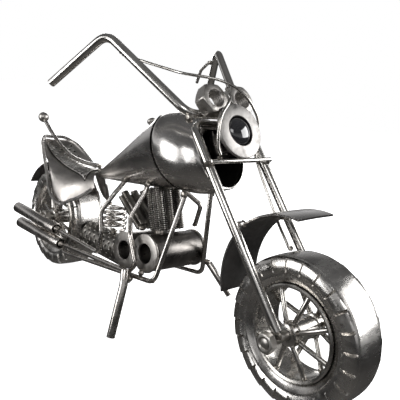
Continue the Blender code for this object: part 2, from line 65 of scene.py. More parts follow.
HEAVY_ROD_R, FRAME_ROD_R, BRACE_ROD_R, CABLE_R = 2.5, 1.5, 1.3, 0.8
LEG_Y = 20.6
LEG_TOP = Vector((155.9, LEG_Y, 129.1))
LEG_FOOT = Vector((229.2, LEG_Y, 42.6))
FORK_UP = (LEG_TOP - LEG_FOOT).normalized()
FORK_FRONT = Vector((FORK_UP.z, 0.0, -FORK_UP.x))
BRACE_AT = Vector((172.0, 0, 110.1)) + FORK_FRONT * (HEAVY_ROD_R + BRACE_ROD_R + GAP)

TANK_TIP = Vector((43.8, 0.0, 80.3))
SEAM_CENTRE, SEAM_R, SEAM_TILT = Vector((127.0, 0.0, 110.8)), 24.8, 24.0
MOUTH_CENTRE, MOUTH_R, MOUTH_TILT = Vector((159.0, 0.0, 112.0)), 18.6, 26.0
TANK_WALL = 1.2

CRANK = {"front": (Vector((126.7, 0, 47.8)), 18.2), "rear": (Vector((102.8, 0, 42.6)), 15.4)}
CRANK_TUBE_BORE_R, CRANK_TUBE_R = 9.4, 11.2
ENGINE_WASHER_BORE_R, ENGINE_WASHER_R, ENGINE_WASHER_THICK = 6.1, 11.8, 1.6
STUD_R, STUD_PITCH, STUD_ROW_Y = 2.4, 1.2, 7.6
GEARBOX_REAR_X, GEARBOX_LENGTH, GEARBOX_Z, GEARBOX_R = 40.5, 48.0, 33.6, 10.6
COIL_FOOT, COIL_R, COIL_WIRE_R, COIL_TURNS, COIL_RISE = Vector((71.5, -4.0, 47.5)), 7.6, 1.1, 4, 4.0
EXHAUST_Y, MUFFLER_BORE_R, MUFFLER_R = -25.0, 3.25, 4.2

LAMP_CENTRE, LAMP_PITCH = Vector((171.8, 0.0, 128.4)), math.radians(25.4)
LAMP_LOOK = Vector((math.cos(LAMP_PITCH), 0, math.sin(LAMP_PITCH)))
LAMP_WASHER_BORE_R, LAMP_WASHER_R, LAMP_WASHER_THICK = 8.4, 15.1, 2.4
LENS_R, LENS_RISE = 8.05, 4.4
NUT_CENTRE, NUT_PITCH = Vector((157.0, 9.6, 142.2)), math.radians(30.0)
NUT_LOOK = Vector((math.cos(NUT_PITCH), 0, math.sin(NUT_PITCH)))
HANDLEBAR = (Vector((151.2, 20.2, 134.4)), Vector((100.1, 42.1, 173.0)), Vector((72.5, 62.0, 142.7)))
GRIP_ALONG = (HANDLEBAR[2] - HANDLEBAR[1]).normalized()
LEVER_HANG = Vector((-0.55, -0.75, 0.35)).normalized()
FENDER_CENTRE, FENDER_R, FENDER_HALF_W = Vector((222.0, 0.0, 54.8)), 40.9, 13.4
REAR_FENDER_R, REAR_FENDER_HALF_W = 43.0, 13.2
FENDER_THICK, FENDER_CROWN = 1.0, 0.25

SEAT_THICK, INLAY_THICK, INLAY_HALF_W, INLAY_LIFT = 0.9, 0.7, 11.0, 1.7
TRIM_WIRE_R, TRIM_LAY_R, TRIM_PITCH = 0.68, 0.72, 3.4
SISSY_BALL_R = 4.2


# ---------------------------------------------------------------- materials


def node(tree, kind, **values):
    """A new shader node, with each value set on its socket of that name or else as a property."""
    made = tree.nodes.new(kind)
    for key, value in values.items():
        if key in made.inputs.keys():
            made.inputs[key].default_value = value
        else:
            setattr(made, key, value)
    return made


def steel(name, dark, bright, rough, grain=(1.0, 1.0, 1.0), bump=0.06, patch=45.0, metallic=1.0, pits=0.0):
    """Bare steel: patchy tone, rubbed roughness, fine grain stretched one way, and small pits if asked."""
    made = bpy.data.materials.new(name)
    made.use_nodes = True
    tree = made.node_tree
    shader = tree.nodes["Principled BSDF"]
    shader.inputs["Metallic"].default_value = metallic
    where = node(tree, "ShaderNodeTexCoord").outputs["Object"]
    stretch = node(tree, "ShaderNodeMapping", Scale=grain)
    tree.links.new(where, stretch.inputs["Vector"])

    tone = node(tree, "ShaderNodeTexNoise", Scale=patch, Detail=5.0, Roughness=0.62)
    tree.links.new(where, tone.inputs["Vector"])
    ramp = node(tree, "ShaderNodeValToRGB")
    ramp.color_ramp.elements[0].position, ramp.color_ramp.elements[1].position = 0.34, 0.66
    ramp.color_ramp.elements[0].color = (*dark, 1)
    ramp.color_ramp.elements[1].color = (*bright, 1)
    tree.links.new(tone.outputs["Fac"], ramp.inputs["Fac"])
    tree.links.new(ramp.outputs["Color"], shader.inputs["Base Color"])

    fine = node(tree, "ShaderNodeTexNoise", Scale=1400.0, Detail=3.0, Roughness=0.6)
    tree.links.new(stretch.outputs["Vector"], fine.inputs["Vector"])
    rub = node(tree, "ShaderNodeTexNoise", Scale=patch * 2.7, Detail=6.0, Roughness=0.7)
    tree.links.new(stretch.outputs["Vector"], rub.inputs["Vector"])
    spread = node(tree, "ShaderNodeMapRange")
    spread.inputs["From Min"].default_value, spread.inputs["From Max"].default_value = 0.3, 0.72
    spread.inputs["To Min"].default_value, spread.inputs["To Max"].default_value = rough * 0.65, rough * 1.45
    tree.links.new(rub.outputs["Fac"], spread.inputs["Value"])
    tree.links.new(spread.outputs["Result"], shader.inputs["Roughness"])

    height = fine.outputs["Fac"]
    if pits:
        cells = node(tree, "ShaderNodeTexVoronoi", Scale=520.0)
        tree.links.new(where, cells.inputs["Vector"])
        mix = node(tree, "ShaderNodeMath", operation="MULTIPLY_ADD")
        mix.inputs[1].default_value = pits
        tree.links.new(cells.outputs["Distance"], mix.inputs[0])
        tree.links.new(height, mix.inputs[2])
        height = mix.outputs["Value"]
    relief = node(tree, "ShaderNodeBump", Strength=bump, Distance=0.0004)
    tree.links.new(height, relief.inputs["Height"])
    tree.links.new(relief.outputs["Normal"], shader.inputs["Normal"])
    return made


def lens_material():
    made = steel("lens_black", (0.006, 0.006, 0.007), (0.016, 0.016, 0.018), 0.07, bump=0.01, metallic=0.0)
    shader = made.node_tree.nodes["Principled BSDF"]
    shader.inputs["Coat Weight"].default_value = 1.0
    shader.inputs["Coat Roughness"].default_value = 0.03
    shader.inputs["IOR"].default_value = 1.55
    return made


LOOKS = {
    "frame_rod": steel("rod_steel", (0.50, 0.47, 0.44), (0.72, 0.69, 0.66), 0.24, (1, 1, 1), 0.05),
    "fork_rod": steel("fork_steel", (0.60, 0.58, 0.55), (0.80, 0.78, 0.75), 0.20, (1, 1, 1), 0.04),
    "wheel_steel": steel("wheel_steel", (0.48, 0.46, 0.43), (0.68, 0.66, 0.63), 0.25, (1, 0.3, 1), 0.06),
    "tyre_steel": steel("tyre_steel", (0.52, 0.50, 0.48), (0.76, 0.74, 0.71), 0.25, (1, 0.25, 1), 0.06, 60.0),
    "sheet": steel("spun_sheet", (0.56, 0.54, 0.52), (0.70, 0.68, 0.66), 0.23, (0.25, 1, 1), 0.035, 30.0),
    "dark_sheet": steel("dark_sheet", (0.10, 0.095, 0.09), (0.30, 0.28, 0.26), 0.30, (1, 0.4, 1), 0.10, 55.0),
    "hardware": steel("hardware_steel", (0.40, 0.38, 0.36), (0.56, 0.54, 0.51), 0.38, bump=0.07, patch=80.0, pits=0.5),
    "studs": steel("stud_steel", (0.14, 0.13, 0.12), (0.42, 0.40, 0.37), 0.34, (1, 1, 1), 0.06, 90.0),
    "cable": steel("wire_steel", (0.40, 0.38, 0.35), (0.68, 0.66, 0.63), 0.26, (1, 1, 1), 0.08, 120.0),
    "lens": lens_material(),
}
SATIN = steel("satin_pan", (0.34, 0.32, 0.30), (0.66, 0.63, 0.60), 0.36, (0.4, 1, 1), 0.06, 42.0)
GREY = steel("grey_punched", (0.46, 0.44, 0.42), (0.66, 0.64, 0.61), 0.40, (1, 1, 1), 0.08, 70.0)
RING = steel("satin_washer", (0.27, 0.26, 0.25), (0.40, 0.385, 0.37), 0.44, (1, 1, 1), 0.08, 80.0, pits=0.4)
WELD = steel("weld_bead", (0.16, 0.14, 0.12), (0.50, 0.47, 0.43), 0.32, (1, 1, 1), 0.12, 160.0, pits=0.8)
# Painted shade: near-black steel put inside hollows, behind holes and on the fenders' inner faces, standing in for the
# shadow there.
SHADE_BLACK = steel(
    "painted_shade_black", (0.012, 0.011, 0.010), (0.05, 0.047, 0.044), 0.5, (1, 1, 1), 0.1, 50.0, metallic=0.6
)


# ---------------------------------------------------------------- pieces


def piece(name, bm, body, slot, replaces=(), look=None, smooth_deg=40.0):
    """A bmesh in millimetres becomes a piece that rides on a body, turned with the fork if it steers."""
    if body in STEERED:
        bmesh.ops.transform(bm, matrix=TURN, verts=bm.verts)
    bmesh.ops.scale(bm, verts=bm.verts, vec=(MM, MM, MM))
    bmesh.ops.recalc_face_normals(bm, faces=bm.faces)
    mesh = bpy.data.meshes.new(name)
    bm.to_mesh(mesh)
    bm.free()
    mesh.shade_smooth()
    mesh.set_sharp_from_angle(angle=math.radians(smooth_deg))
    made = bpy.data.objects.new(name, mesh)
    bpy.context.scene.collection.objects.link(made)
    mesh.materials.append(look or LOOKS[slot])
    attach(made, body)
    if replaces:
        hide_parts(*replaces)
    return made


def joined(parts):
    """Several bmeshes as one."""
    whole = bmesh.new()
    for part in parts:
        mesh = bpy.data.meshes.new("part")
        part.to_mesh(mesh)
        part.free()
        whole.from_mesh(mesh)
        bpy.data.meshes.remove(mesh)
    return whole


def skin(rings, closed_loop=False, caps=False):
    """Quads between rings of points, joined end to end or capped if asked."""
    bm = bmesh.new()
    made = [[bm.verts.new(point) for point in ring] for ring in rings]
    pairs = list(zip(made, made[1:])) + ([(made[-1], made[0])] if closed_loop else [])
    for first, second in pairs:
        for i in range(len(first)):
            j = (i + 1) % len(first)
            bm.faces.new((first[i], first[j], second[j], second[i]))
    if caps:
        bm.faces.new(made[0])
        bm.faces.new(list(reversed(made[-1])))
    return bm


def frame_of(direction):
    """A level direction and an upward one, square to the one given and to each other."""
    direction = direction.normalized()
    level = Vector((0, 0, 1)).cross(direction)
    level = level.normalized() if level.length > 1e-6 else Vector((1, 0, 0))
    return level, direction.cross(level)


def turned(origin, direction, profile, count, bored, radius_at=None, twist=0.0, phase=0.5):
    """A turned solid. radius_at changes the radius round a ring, and twist slides its points along a thread."""
    across, up = frame_of(direction)
    direction = direction.normalized()
    rings = []
    for along, radius in profile:
        ring = []
        for i in range(count):
            turn = 2 * math.pi * (i + phase) / count
            r = radius_at(along, radius, turn) if radius_at else radius
            slide = along + twist * i / count
            ring.append(origin + direction * slide + r * (math.cos(turn) * across + math.sin(turn) * up))
        rings.append(ring)
    return skin(rings, bored, not bored)


def rounded(points, radius, steps=8):
    """A path of straight runs with its corners bent to a radius, as a rod is."""
    made = [Vector(points[0])]
    for before, corner, after in zip(points, points[1:], points[2:]):
        before, corner, after = Vector(before), Vector(corner), Vector(after)
        to_before, to_after = (before - corner).normalized(), (after - corner).normalized()
        reach = radius / math.tan(to_before.angle(to_after) / 2)
        reach = min(reach, 0.45 * (before - corner).length, 0.45 * (after - corner).length)
        start, end = corner + to_before * reach, corner + to_after * reach
        for step in range(steps + 1):
            t = step / steps
            made.append((1 - t) ** 2 * start + 2 * t * (1 - t) * corner + t**2 * end)
    made.append(Vector(points[-1]))
    return made


def smooth_path(points, per_span=8):
    """A smooth curve through every point."""
    knots = [Vector(p) for p in points]
    padded = [2 * knots[0] - knots[1], *knots, 2 * knots[-1] - knots[-2]]
    made = []
    for a, b, c, d in zip(padded, padded[1:], padded[2:], padded[3:]):
        for step in range(per_span):
            t = step / per_span
            square, cube = 2 * a - 5 * b + 4 * c - d, 3 * b - a - 3 * c + d
            made.append(0.5 * (2 * b + (c - a) * t + square * t**2 + cube * t**3))
    made.append(knots[-1])
    return made


def frames_along(path):
    """(point, side, up, ahead) along a path, with no sudden twist."""
    heading = (path[1] - path[0]).normalized()
    side, _ = frame_of(heading)
    made = []
    for i, point in enumerate(path):
        ahead = path[min(i + 1, len(path) - 1)] - path[max(i - 1, 0)]
        ahead = ahead.normalized()
        side = (side - ahead * side.dot(ahead)).normalized()
        made.append((point, side, ahead.cross(side), ahead))
    return made


def tube(path, radius, sides=20, chamfer=0.35):
    """A rod along a path, with softened ends."""
    rings = []
    track = frames_along([Vector(p) for p in path])
    last = len(track) - 1
    turns = [2 * math.pi * k / sides for k in range(sides)]
    for i, (point, side, up, ahead) in enumerate(track):
        ring = [math.cos(turn) * side + math.sin(turn) * up for turn in turns]
        if i == 0:
            rings.append([point + (radius - chamfer) * v for v in ring])
            rings.append([point + ahead * chamfer * 0.3 + (radius - chamfer * 0.3) * v for v in ring])
            rings.append([point + ahead * chamfer + radius * v for v in ring])
        elif i == last:
            rings.append([point - ahead * chamfer + radius * v for v in ring])
            rings.append([point - ahead * chamfer * 0.3 + (radius - chamfer * 0.3) * v for v in ring])
            rings.append([point + (radius - chamfer) * v for v in ring])
        else:
            rings.append([point + radius * v for v in ring])
    return skin(rings, False, True)


def rod(name, path, radius, body, slot, sides=20, **more):
    """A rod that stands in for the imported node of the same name."""
    return piece(name + "_rod", tube(path, radius, sides), body, slot, [name], **more)


def washer_profile(low, high, inner, outer, edge=0.45):
    """A flat ring with soft edges, as (along, radius) round its section."""
    soft = edge * 0.3
    near = [(low + soft, inner), (low, inner + soft), (low, outer - edge), (low + soft, outer - soft)]
    far = [(high - soft, outer - soft), (high, outer - edge), (high, inner + soft), (high - soft, inner)]
    return [*near, (low + edge, outer), (high - edge, outer), *far]


def hex_nut(centre, direction, half, flat_r, bore_r, pitch=1.25):
    """A hexagon nut with turned chamfers and a threaded bore."""

    def outline(along, radius, turn):
        if radius < flat_r * 0.8:
            return radius
        flat = flat_r / math.cos((turn % (math.pi / 3)) - math.pi / 6)
        return min(flat, flat_r * 0.965 + (half - abs(along)) * 1.73 if abs(along) < half + 1e-6 else flat)

    depth = (0.0, 0.12, 0.25, 0.45, 0.7, 1.0)
    outer = [(-half + d, flat_r) for d in depth] + [(half - d, flat_r) for d in reversed(depth)]
    bore = [(half - 0.02, bore_r + 0.75)]
    at = half - 0.8
    while at > -half + 0.8:
        bore += [(at, bore_r), (at - pitch * 0.28, bore_r + 0.05), (at - pitch * 0.5, bore_r + 0.55)]
        at -= pitch
    bore.append((-half + 0.02, bore_r + 0.75))
    return turned(centre, direction, outer + bore, 72, True, outline, 0.0, 0.0)


def bead(at, radius, squash, seed):
    """A lumpy drop of weld."""
    bm = bmesh.new()
    bmesh.ops.create_uvsphere(bm, u_segments=14, v_segments=9, radius=1.0)
    for vert in bm.verts:
        x, y, z = vert.co
        wave = math.sin(5 * x + 2.1 * seed) * math.cos(4 * y + seed)
        lump = 1 + 0.10 * wave + 0.07 * math.sin(7 * z + 1.7 * seed)
        vert.co = Vector((x, y, z * squash)) * radius * lump
    turn = Matrix.Rotation(0.9 * seed, 4, "X") @ Matrix.Rotation(1.3 * seed, 4, "Z")
    bmesh.ops.transform(bm, matrix=Matrix.Translation(at) @ turn, verts=bm.verts)
    return bm


def perforated(place, cells_u, cells_v, hole, wrap_u=False):
    """A sheet of cells with an eight-sided hole in every other one, set out like a draughtboard."""
    bm = bmesh.new()
    made = {}

    def vert(u, v):
        key = (round(u % cells_u if wrap_u else u, 4), round(v, 4))
        if key not in made:
            made[key] = bm.verts.new(place(key[0] / cells_u, v / cells_v))
        return made[key]

    ring = [(-1, -1), (0, -1), (1, -1), (1, 0), (1, 1), (0, 1), (-1, 1), (-1, 0)]
    for i in range(cells_u):
        for j in range(cells_v):
            cu, cv = i + 0.5, j + 0.5
            outer = [vert(cu + 0.5 * a, cv + 0.5 * b) for a, b in ring]
            if (i + j) % 2:
                middle = vert(cu, cv)
                for k in range(8):
                    bm.faces.new((outer[k], outer[(k + 1) % 8], middle))
                continue
            inner = []
            for a, b in ring:
                size = hole / math.hypot(a, b)
                inner.append(vert(cu + size * a, cv + size * b))
            for k in range(8):
                bm.faces.new((outer[k], outer[(k + 1) % 8], inner[(k + 1) % 8], inner[k]))
    return bm


def thicken(obj, thickness_mm):
    """Gives a punched sheet its thickness, inward from its outer face."""
    made = obj.modifiers.new("thickness", "SOLIDIFY")
    made.thickness = thickness_mm * MM
    made.offset = -1.0
    made.use_even_offset = True


def sheet(grid):
    bm = bmesh.new()
    verts = [[bm.verts.new(point) for point in row] for row in grid]
    for row, after in zip(verts, verts[1:]):
        for a, b, c, d in zip(row, row[1:], after[1:], after):
            bm.faces.new((a, b, c, d))
    return bm


def double_sheet(grid, thickness):
    """A closed sheet: the grid and a copy of it moved along its normals."""
    bm = sheet(grid)
    bmesh.ops.recalc_face_normals(bm, faces=bm.faces)
    bm.normal_update()
    if bm.faces[len(bm.faces) // 2].normal.z < 0:
        bmesh.ops.reverse_faces(bm, faces=bm.faces)
        bm.normal_update()
    bmesh.ops.solidify(bm, geom=bm.faces[:], thickness=thickness)
    return bm


# ---------------------------------------------------------------- wheels


def tyre(end):
    """A formed tyre: a smooth crown between lips, shoulders cut into lugs, and a raised line on each wall."""
    half, lugs, per_lug, count = WIDTH[end] / 2, 24, 14, 60
    edge, round_y, round_r = half * 0.68, half * 0.32, 6.2
    rings = []
    for k in range(lugs * per_lug):
        turn = 2 * math.pi * k / (lugs * per_lug)
        out = Vector((math.cos(turn), 0, math.sin(turn)))
        ring = []
        for i in range(count + 1):
            s = -1 + 2 * i / count
            a = abs(s)
            phase = (k + (per_lug // 3 if s < 0 else 0)) % per_lug
            if a < 0.40:
                y, r = edge * a / 0.40, WHEEL_R - 0.25 + 0.2 * (1 - (a / 0.40) ** 2)
            elif a < 0.78:
                b = (a - 0.40) / 0.38
                swell = math.sin(b * math.pi / 2)
                y = edge + round_y * swell
                r = WHEEL_R - 0.3 - round_r * (1 - (1 - swell**2.3) ** (1 / 2.3))
            else:
                b = (a - 0.78) / 0.22
                y = half - 3.2 * b**1.5
                r = WHEEL_R - 0.3 - round_r - (WHEEL_R - 0.3 - round_r - TYRE_BORE_R - 0.2) * b
            if 0.37 < a < 0.40 or 0.44 < a < 0.47:
                r -= 0.55
            if 0.54 < a < 0.82:
                lift = 0.45 * phase / per_lug
                cut = 1.1 if phase == 0 else 0.0
                r -= (cut - lift) * 0.7
                y += lift - cut
            if 0.88 < a < 0.93:
                y += 0.45
            ring.append(CENTRE[end] + out * r + Y_AXIS * math.copysign(y, s))
        ring.append(CENTRE[end] + out * TYRE_BORE_R + Y_AXIS * (half - 3.4))
        ring.append(CENTRE[end] + out * TYRE_BORE_R - Y_AXIS * (half - 3.4))
        rings.append(ring)
    made = skin(rings, True)
    piece(f"{end}_tyre_ribbed", made, WHEEL_BODY[end], "tyre_steel", [f"{end}_tyre"], smooth_deg=32.0)


def wheel(end):
    """Rim, hub and two rows of eight rod spokes, with a bead of weld at both ends of each spoke."""
    at, body, half = CENTRE[end], WHEEL_BODY[end], WIDTH[end] / 2
    rim_half = half - 2.2
    section = [
        (-rim_half, RIM_R - 0.1), (-rim_half - 0.5, RIM_R - 0.8), (-rim_half - 0.2, RIM_R - 1.9),
        (-rim_half + 0.9, RIM_R - 2.1), (-rim_half + 2.0, RIM_R - 1.5), (rim_half - 2.0, RIM_R - 1.5),
        (rim_half - 0.9, RIM_R - 2.1), (rim_half + 0.2, RIM_R - 1.9), (rim_half + 0.5, RIM_R - 0.8),
        (rim_half, RIM_R - 0.1),
    ]
    rim = turned(at, Y_AXIS, section, 144, True)
    bore, hub_half = AXLE_R + 0.3, half + 0.6
    hub_section = [(-hub_half, bore), (-hub_half, HUB_R - 0.5), (-hub_half + 0.4, HUB_R)]
    for collar in (-1, 1):
        mid = collar * (hub_half - 4.6)
        hub_section += [(mid + x, HUB_R + rise) for x, rise in ((-0.8, 0), (-0.5, 0.7), (0.5, 0.7), (0.8, 0))]
    hub_section += [(hub_half - 0.4, HUB_R), (hub_half, HUB_R - 0.5), (hub_half, bore)]
    hub = turned(at, Y_AXIS, hub_section, 48, True)
    spokes, welds = [], []
    for row in (-1, 1):
        for k in range(8):
            turn = math.radians(FIRST_SPOKE_DEG + 45 * k)
            out = Vector((math.cos(turn), 0, math.sin(turn)))
            foot = at + Y_AXIS * row * (hub_half - 2.4) + out * (HUB_R - 1.2)
            tip = at + Y_AXIS * row * (rim_half - 2.4) + out * (RIM_R - 1.2)
            spokes.append(tube([foot, foot.lerp(tip, 0.5), tip], SPOKE_R, 16, 0.1))
            welds.append(bead(foot + out * 1.5, 1.55, 0.8, k + 3 * row))
            welds.append(bead(tip - out * 1.3, 1.6, 0.7, k + 11 + row))
    piece(f"{end}_rim_and_spokes", joined([rim, hub, *spokes]), body, "wheel_steel", [f"{end}_spoked_wheel"])
    piece(f"{end}_spoke_welds", joined(welds), body, "wheel_steel", look=WELD)


def axle(end, body, half_length, nut_at):
    at = CENTRE[end]
    bar = [(-half_length, 1.9), (-half_length + 0.4, AXLE_R), (half_length - 0.4, AXLE_R), (half_length, 1.9)]
    piece(f"{end}_axle_bar", turned(at, Y_AXIS, bar, 32, False), body, "hardware", [f"{end}_axle"])
    for side, sign in SIDES.items():
        nut = hex_nut(at + Y_AXIS * sign * (nut_at + 2.0), Y_AXIS * sign, 2.0, 4.5, AXLE_R + 0.12, 0.8)
        piece(f"{end}_hex_nut_{side}", nut, body, "hardware", [f"{end}_axle_nut_{side}"])


# ---------------------------------------------------------------- tank and seat


def tank_ring(centre, tilt_deg, radius, count):
    """A ring of points across the tank, its upper edge tilted back."""
    tilt = math.radians(tilt_deg)
    up = Vector((-math.sin(tilt), 0, math.cos(tilt)))
    turns = [2 * math.pi * (i + 0.5) / count for i in range(count)]
    return [centre + radius * (math.cos(t) * Y_AXIS + math.sin(t) * up) for t in turns]


def tank():
    """The long cone, the bulged front shell with its open mouth, a near-black sheet inside it as painted shade, and
    the ball of the filler.
    """
    count = 128
    stations = [(0.0, 1.6), (0.002, 2.4), (0.008, 2.9), (0.02, 3.3)]
    straight = (0.1, 0.2, 0.3, 0.4, 0.5, 0.6, 0.7, 0.8, 0.9, 0.97)
    stations += [(t, 3.3 + (t - 0.02) / 0.95 * 20.9) for t in straight]
    stations += [(0.985, 24.55), (0.992, 24.7)]
    cone = [tank_ring(TANK_TIP.lerp(SEAM_CENTRE, t), SEAM_TILT * t, r, count) for t, r in stations]
    inner = [
        tank_ring(TANK_TIP.lerp(SEAM_CENTRE, t), SEAM_TILT * t, r - TANK_WALL, count) for t, r in stations[5:]
    ]
    piece("tank_cone_spun", skin([*cone, *reversed(inner)], False, True), "frame", "sheet", ["tank_cone"])

    seam_gap = Vector((0.6, 0, 0))
    outer, inside = [], []
    for step in range(25):
        t = step / 24
        centre = SEAM_CENTRE.lerp(MOUTH_CENTRE, t) + seam_gap
        bulge = 0.9 * math.sin(math.pi * min(1.0, t * 1.4)) if t < 0.72 else 0.0
        radius = SEAM_R + (MOUTH_R - SEAM_R) * t**1.8 + bulge
        tilt = SEAM_TILT + (MOUTH_TILT - SEAM_TILT) * t
        edge = 0.5 * max(0.0, 1 - t * 24) + 0.4 * max(0.0, (t - 23 / 24) * 24)
        outer.append(tank_ring(centre, tilt, radius - edge, count))
        inside.append(tank_ring(centre, tilt, radius - TANK_WALL, count))
    shell = skin([*outer, *reversed(inside)], True)
    piece("tank_shell_spun", shell, "frame", "sheet", ["tank_front_shell"])
    # Painted shade: a near-black sheet inside the mouth stands for the shadow in the hollow tank.
    shade_rings = [tank_ring(c, t, r, 96) for c, t, r in (
        (SEAM_CENTRE.lerp(MOUTH_CENTRE, 0.93) + seam_gap, 25.9, 17.8),
        (SEAM_CENTRE.lerp(MOUTH_CENTRE, 0.5) + seam_gap, 25.0, 22.2),
        (SEAM_CENTRE.lerp(MOUTH_CENTRE, 0.05) + seam_gap, 24.1, 23.0),
        (TANK_TIP.lerp(SEAM_CENTRE, 0.8), 19.0, 18.0),
    )]
    piece("tank_inside_painted_shade", skin(shade_rings, False, False), "frame", "dark_sheet", look=SHADE_BLACK)

    slope = Vector((-0.52, 0, 0.855))
    cap = [(-2.4, 2.0), (-0.4, 2.1), (0.5, 1.7), (1.5, 1.6), (2.0, 1.8), (2.5, 2.3), (3.2, 2.75), (4.0, 2.95)]
    cap += [(4.8, 2.75), (5.5, 2.2), (6.0, 1.3), (6.2, 0.4)]
    ball = turned(Vector((96.6, 0, 120.9)), slope, cap, 40, False)
    piece("filler_ball", ball, "frame", "hardware", ["filler_cap"])


# Each seat cross section: x and z on the centre line, then x, half width and z at the edge
SEAT_STATIONS = (
    (-29.0, 95.2, -29.0, 3.5, 95.6),
    (-24.5, 92.4, -24.5, 9.4, 96.0),
    (-18.5, 89.4, -18.5, 12.7, 95.2),
    (-8.0, 85.0, -8.0, 16.5, 88.0),
    (4.0, 82.2, 4.0, 19.8, 77.5),
    (13.5, 81.1, 16.0, 22.0, 62.5),
    (22.0, 80.6, 28.5, 21.0, 56.8),
    (30.0, 80.7, 36.0, 17.3, 60.3),
    (36.5, 81.0, 43.5, 12.6, 65.2),
    (40.5, 81.3, 49.0, 8.0, 71.5),
)


def station_at(u):
    """A seat cross section at u from 0 to the last station, smooth between the given ones."""
    last = len(SEAT_STATIONS) - 1
    i = min(int(u), last - 1)
    t = u - i
    a, b, c, d = (SEAT_STATIONS[min(max(k, 0), last)] for k in (i - 1, i, i + 1, i + 2))
    return tuple(
        0.5 * (2 * q + (r - p) * t + (2 * p - 5 * q + 4 * r - s) * t**2 + (3 * q - p - 3 * r + s) * t**3)
        for p, q, r, s in zip(a, b, c, d)
    )


def seat_point(u, t, lift=0.0):
    """A point of the seat, u along it and t from -1 at its right edge to 1 at its left edge."""
    x, centre_z, edge_x, half, edge_z = station_at(u)
    if t > 0 and edge_x > 0:
        edge_x *= 0.75
    at_x = x + (edge_x - x) * abs(t) ** 1.5
    width = math.sin(abs(t) * math.pi / 2) * half
    drop = (1 - math.cos(abs(t) * math.pi / 2)) ** 1.15 * (centre_z - edge_z)
    return Vector((at_x, math.copysign(width, t), centre_z - drop + lift))


def seat():
    last = len(SEAT_STATIONS) - 1
    us = [last * i / 54 for i in range(55)]
    pan = double_sheet([[seat_point(u, k / 20) for k in range(-20, 21)] for u in us], SEAT_THICK)
    piece("seat_pan_formed", pan, "frame", "sheet", ["seat_pan"], look=SATIN, smooth_deg=70.0)

    def place(a, b):
        u = 2.0 + (last - 3.0) * b
        half = station_at(u)[3]
        edge = math.asin(min(INLAY_HALF_W / half, 0.94)) * 2 / math.pi
        return seat_point(u, edge * (2 * a - 1), INLAY_LIFT)

    # Painted shade: a near-black sheet under the punched inlay makes its holes dark, as shadow would.
    below = Vector((0, 0, 0.9))
    under = double_sheet([[place(a / 18, b / 50) - below for a in range(19)] for b in range(51)], 0.3)
    piece("seat_inlay_painted_shade", under, "frame", "dark_sheet", look=SHADE_BLACK, smooth_deg=70.0)

    punched, name = perforated(place, 7, 21, 0.40), "seat_perforated_inlay"
    inlay = piece("seat_inlay_punched", punched, "frame", "dark_sheet", [name], look=GREY, smooth_deg=70.0)
    thicken(inlay, INLAY_THICK)

    edge_us = [2.0 + (last - 2.0) * i / 60 for i in range(61)]
    right = [seat_point(u, -1) + Vector((0, -2.15, -0.95)) for u in edge_us]
    left = [seat_point(u, 1) + Vector((0, 2.15, -0.95)) for u in edge_us]
    around = smooth_path([right[0], (-27.0, -8.6, 97.6), (-31.6, 0, 97.0), (-27.0, 8.6, 97.6), left[0]], 10)
    route = [*reversed(right), *around[1:-1], *left]
    strands = []
    for start in (0.0, math.pi):
        path, run = [], 0.0
        track = frames_along(route)
        for (p0, side, up, _), (p1, side1, up1, _) in zip(track, track[1:]):
            pieces = max(2, int((p1 - p0).length / 0.45))
            for k in range(pieces):
                w = k / pieces
                turn = start + 2 * math.pi * (run + (p1 - p0).length * w) / TRIM_PITCH
                s, v = side.lerp(side1, w), up.lerp(up1, w)
                path.append(p0.lerp(p1, w) + TRIM_LAY_R * (math.cos(turn) * s + math.sin(turn) * v))
            run += (p1 - p0).length
        strands.append(tube(path, TRIM_WIRE_R, 8, 0.1))
    piece("seat_twisted_trim", joined(strands), "frame", "cable", ["seat_trim"], look=RING)

    bar = ((41.5, 86.2), (24.0, 84.9), (2.0, 86.4), (-16.5, 92.6), (-33.0, 101.0), (-44.6, 108.6))
    rod("sissy_bar", smooth_path([(x, 0, z) for x, z in bar], 10), FRAME_ROD_R, "frame", "frame_rod")
    ball = bmesh.new()
    bmesh.ops.create_uvsphere(ball, u_segments=48, v_segments=32, radius=SISSY_BALL_R)
    bmesh.ops.translate(ball, verts=ball.verts, vec=(-48.4, 0, 111.3))
    piece("sissy_ball", ball, "frame", "hardware", ["sissy_bar_ball"])


# ---------------------------------------------------------------- engine, exhaust and frame


def stud(foot, direction, length, radius=STUD_R, pitch=STUD_PITCH):
    """A stud with its thread as a ridge that climbs nearly a pitch in each turn."""
    profile = [(0.0, radius - 0.5), (0.3, radius - 0.3)]
    at = 0.5
    while at < length - 1.0:
        profile += [(at, radius - 0.75), (at + pitch * 0.38, radius), (at + pitch * 0.6, radius)]
        at += pitch
    profile += [(length - 0.7, radius - 0.4), (length - 0.1, radius - 0.9)]
    return turned(foot, direction, profile, 22, False, None, pitch * 0.9)


